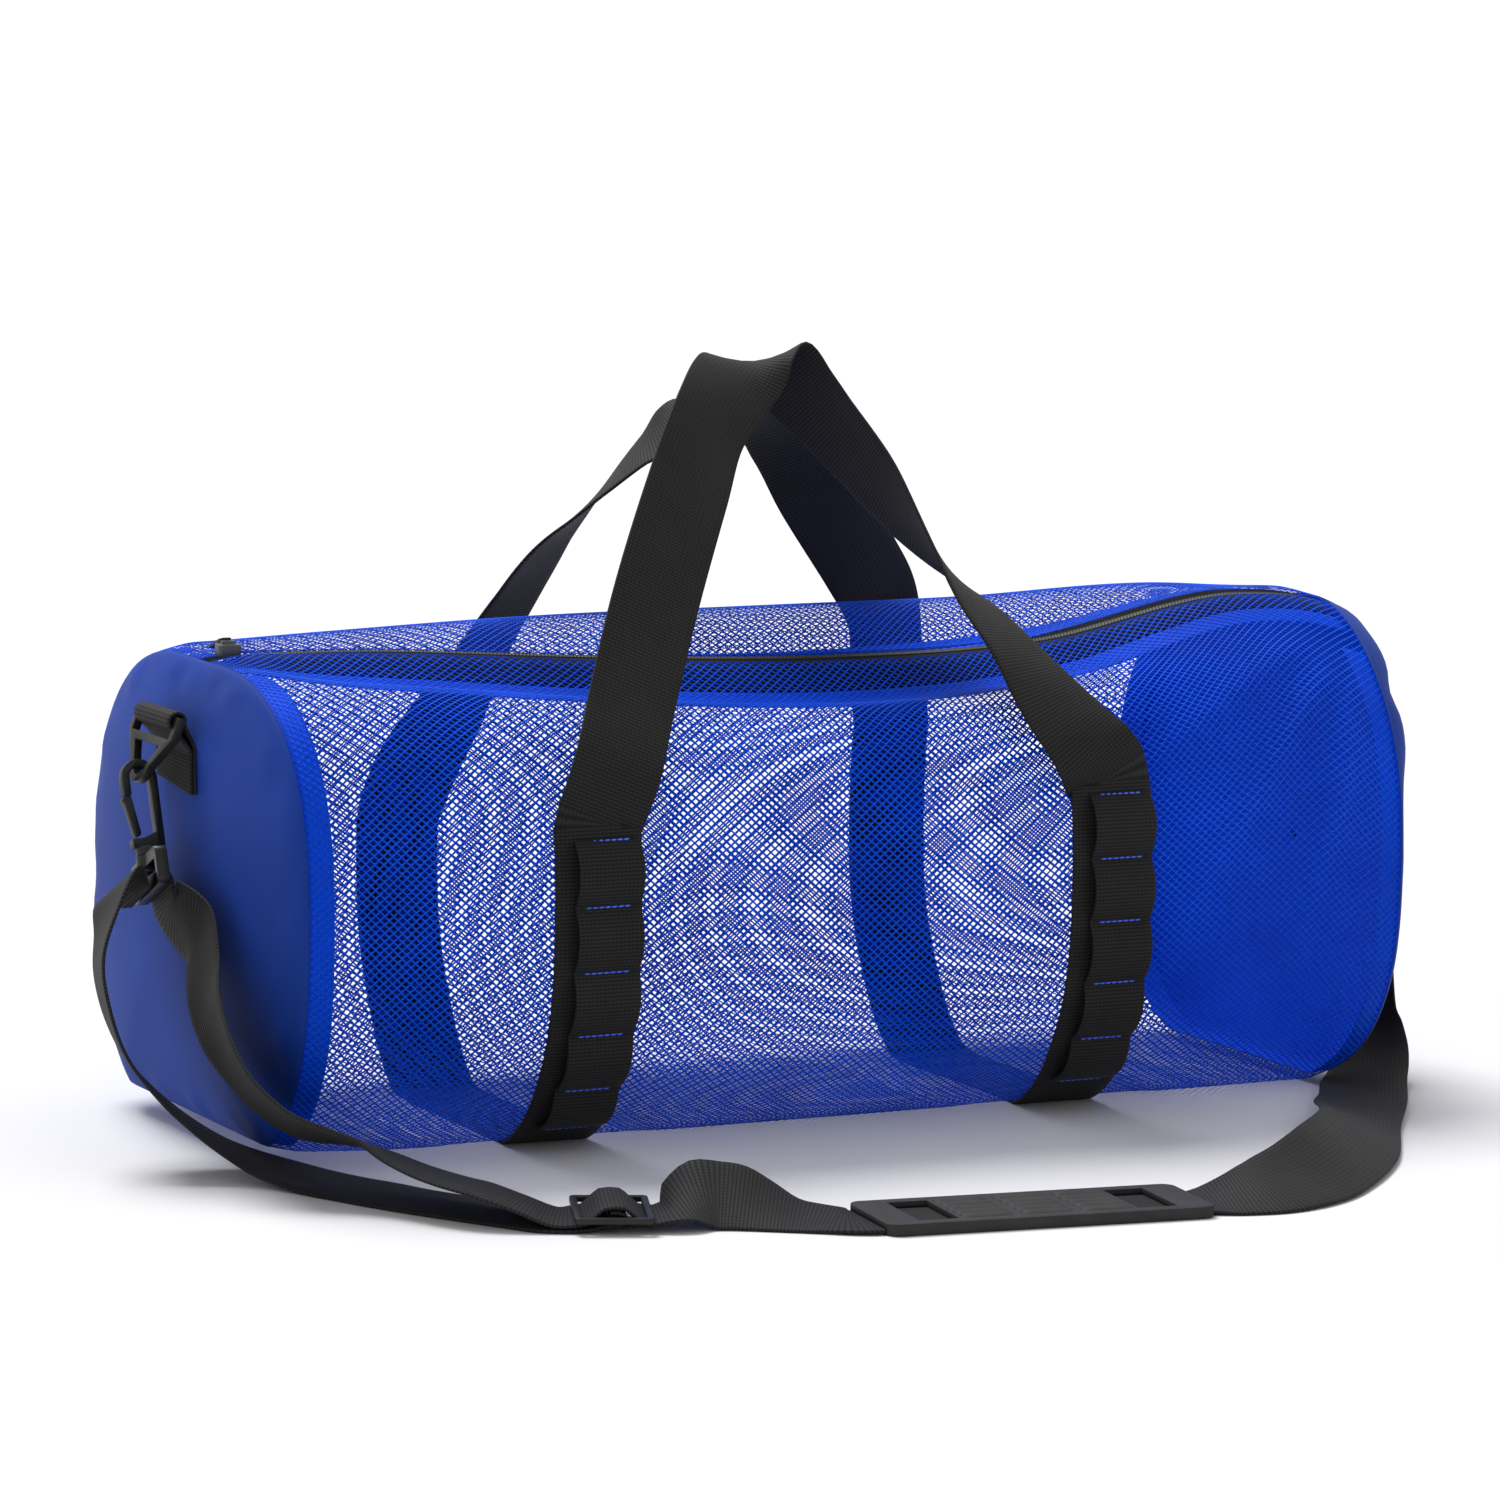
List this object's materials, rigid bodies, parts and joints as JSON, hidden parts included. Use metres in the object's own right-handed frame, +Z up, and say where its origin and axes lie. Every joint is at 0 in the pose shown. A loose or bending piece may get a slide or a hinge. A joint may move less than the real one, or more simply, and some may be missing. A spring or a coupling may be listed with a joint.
{
  "type": "mesh barrel duffel bag",
  "caption": "Blue mesh barrel duffel bag with solid ends, a top zip, black webbing handles with loops and a clip-on padded shoulder strap.",
  "frame": {"origin": "on the floor under the middle of the bag's bottom", "axes": "+X along the bag to its right-hand end as the picture shows it, the front faces -Y, +Z up"},
  "size_m": [0.7983, 0.556, 0.4257],
  "materials": {
    "mesh": "satin",
    "end_panel": "matte",
    "blue_tape": "matte",
    "webbing": "matte",
    "zip_tape": "matte",
    "zip_coil": "satin",
    "zip_metal": "satin",
    "plastic": "satin",
    "pad": "matte"
  },
  "bodies": {
    "root": {"mesh_wall": "mesh", "left_end_panel": "end_panel", "right_end_panel": "end_panel", "left_seam_tape": "blue_tape", "right_seam_tape": "blue_tape", "front_zip_hem": "blue_tape", "back_zip_hem": "blue_tape", "front_zip_tape": "zip_tape", "back_zip_tape": "zip_tape", "zip_coil": "zip_coil", "zip_slider": "zip_metal", "zip_pull": "plastic", "front_handle": "webbing", "back_handle": "webbing", "left_loop_strip": "webbing", "right_loop_strip": "webbing", "shoulder_strap": "webbing", "strap_slider": "plastic", "shoulder_pad": "pad", "left_end_tab": "webbing", "left_end_ring": "plastic", "left_hook": "plastic", "left_hook_loop": "plastic", "right_end_tab": "webbing", "right_end_ring": "plastic", "right_hook": "plastic", "right_hook_loop": "plastic"},
    "left_gate": {"left_hook_gate": "plastic"},
    "right_gate": {"right_hook_gate": "plastic"}
  },
  "joints": [
    {"name": "left_gate_hinge", "type": "hinge", "parent": "root", "child": "left_gate", "pos_m": [-0.37326, -0.02075, 0.17091], "axis": [0, 0.9336, -0.3584], "range_deg": [0, 24], "stiffness_Nm_per_rad": 0.05, "springref_deg": -8.59},
    {"name": "right_gate_hinge", "type": "hinge", "parent": "root", "child": "right_gate", "pos_m": [0.37999, -0.01827, 0.16958], "axis": [0, -0.9613, 0.2756], "range_deg": [0, 24], "stiffness_Nm_per_rad": 0.05, "springref_deg": -8.59}
  ]
}
